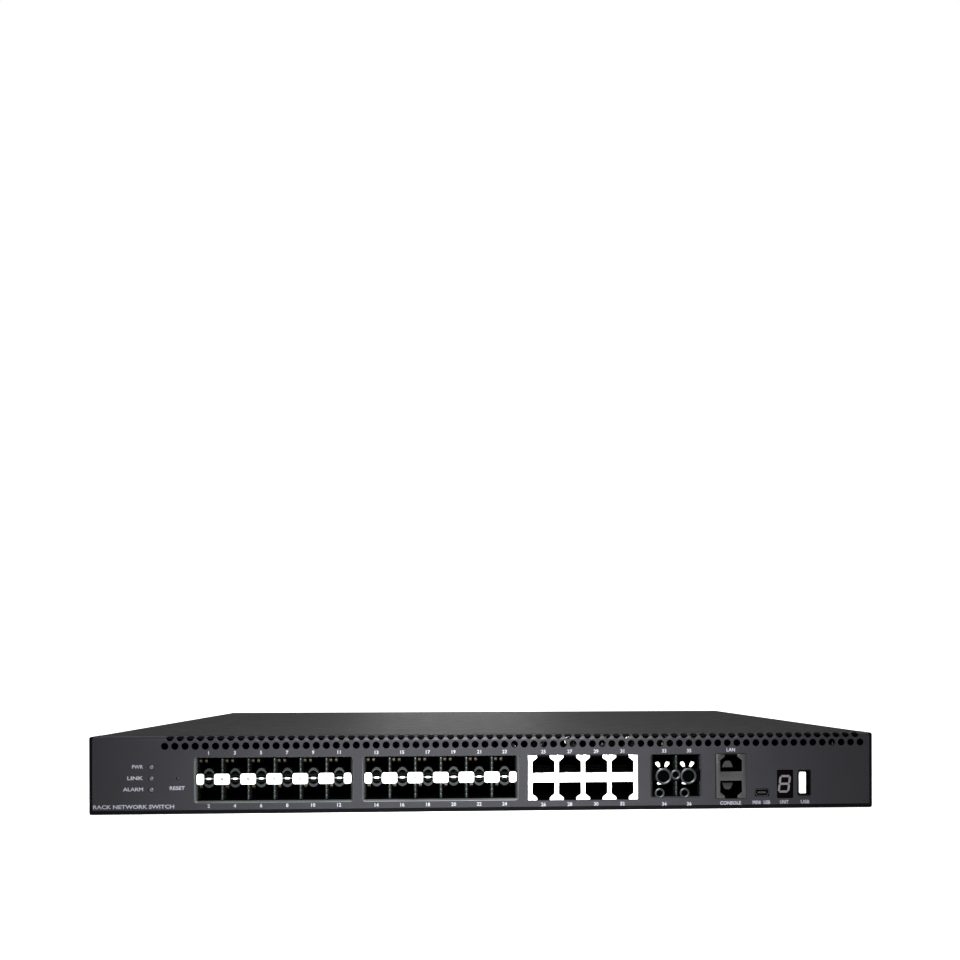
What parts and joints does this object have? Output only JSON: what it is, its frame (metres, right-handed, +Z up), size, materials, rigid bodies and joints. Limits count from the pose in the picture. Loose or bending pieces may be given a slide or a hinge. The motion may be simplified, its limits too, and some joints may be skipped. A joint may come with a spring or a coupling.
{
  "type": "rackmount network switch",
  "caption": "Slim rack-unit metal switch case with a formed vented front panel, stacked module cages, modular jacks, a digit display and rear cooling fans.",
  "frame": {"origin": "centre of the underside of the bounding box", "axes": "+X to the right seen from the front, the front panel faces -Y, +Z up"},
  "size_m": [0.44, 0.2834, 0.043],
  "materials": {
    "panel_paint": "satin charcoal powder coat",
    "cover_paint": "smooth dark grey paint",
    "chassis_steel": "zinc-plated sheet steel",
    "cage_steel": "bright plated spring steel",
    "nickel": "satin nickel plating",
    "black_plastic": "moulded black",
    "white_plastic": "moulded white",
    "clear_plastic": "translucent light guide",
    "display_face": "smoked display face",
    "board_green": "solder resist",
    "heatsink_black": "extruded, black anodised",
    "chip_black": "moulded chip",
    "brass_contact": "bright",
    "copper_winding": "varnished winding and tape",
    "cable_black": "jacket",
    "cell_steel": "satin",
    "guard_wire": "bright plated wire",
    "screw_black": "black oxide"
  },
  "bodies": {
    "chassis": {"base_chassis": "chassis_steel", "top_cover": "cover_paint", "front_panel": "panel_paint", "module_cage_left": "cage_steel", "module_cage_right": "cage_steel", "uplink_cage": "cage_steel", "module_connectors_left": "black_plastic", "module_connectors_right": "black_plastic", "uplink_connectors": "black_plastic", "jack_block_shield": "nickel", "jack_block_housing": "black_plastic", "console_jack_shield": "cage_steel", "console_jack_housing": "black_plastic", "usb_port_shell": "nickel", "usb_port_tongue": "white_plastic", "mini_usb_port": "cage_steel", "digit_display": "display_face", "status_light_pipe": "clear_plastic", "reset_switch": "chip_black", "main_board": "board_green", "switch_chip": "chip_black", "switch_heatsink": "heatsink_black", "port_chip": "chip_black", "port_heatsink": "heatsink_black", "processor_chip": "chip_black", "processor_heatsink": "heatsink_black", "memory_module": "board_green", "coin_cell_holder": "black_plastic", "coin_cell": "cell_steel", "power_board": "board_green", "power_transformer": "copper_winding", "power_choke": "copper_winding", "power_capacitor_1": "chip_black", "power_capacitor_2": "chip_black", "power_heatsink_primary": "heatsink_black", "power_heatsink_secondary": "heatsink_black", "power_inlet": "black_plastic", "inlet_pin_line": "brass_contact", "inlet_pin_neutral": "brass_contact", "inlet_pin_earth": "brass_contact", "ground_screw": "nickel", "mains_lead": "cable_black", "board_power_lead": "cable_black", "fan_frame_1": "black_plastic", "fan_guard_1": "guard_wire", "fan_lead_1": "cable_black", "fan_frame_2": "black_plastic", "fan_guard_2": "guard_wire", "fan_lead_2": "cable_black", "fan_frame_3": "black_plastic", "fan_guard_3": "guard_wire", "fan_lead_3": "cable_black", "cover_screw_left_1": "screw_black", "cover_screw_right_1": "screw_black", "cover_screw_left_2": "screw_black", "cover_screw_right_2": "screw_black"},
    "reset_button": {"reset_button": "black_plastic"},
    "fan_rotor_1": {"fan_rotor_1": "chip_black"},
    "fan_rotor_2": {"fan_rotor_2": "chip_black"},
    "fan_rotor_3": {"fan_rotor_3": "chip_black"}
  },
  "joints": [
    {"name": "fan_spin_1", "type": "hinge", "parent": "chassis", "child": "fan_rotor_1", "pos_m": [0.04, 0.12725, 0.0216], "axis": [0, 1, 0], "continuous": true},
    {"name": "fan_spin_2", "type": "hinge", "parent": "chassis", "child": "fan_rotor_2", "pos_m": [0.095, 0.12725, 0.0216], "axis": [0, 1, 0], "continuous": true},
    {"name": "fan_spin_3", "type": "hinge", "parent": "chassis", "child": "fan_rotor_3", "pos_m": [0.15, 0.12725, 0.0216], "axis": [0, 1, 0], "continuous": true},
    {"name": "reset_press", "type": "slide", "parent": "chassis", "child": "reset_button", "axis": [0, 1, 0], "range_m": [0, 0.0006], "stiffness_N_per_m": 1500, "springref_m": -0.0006}
  ]
}
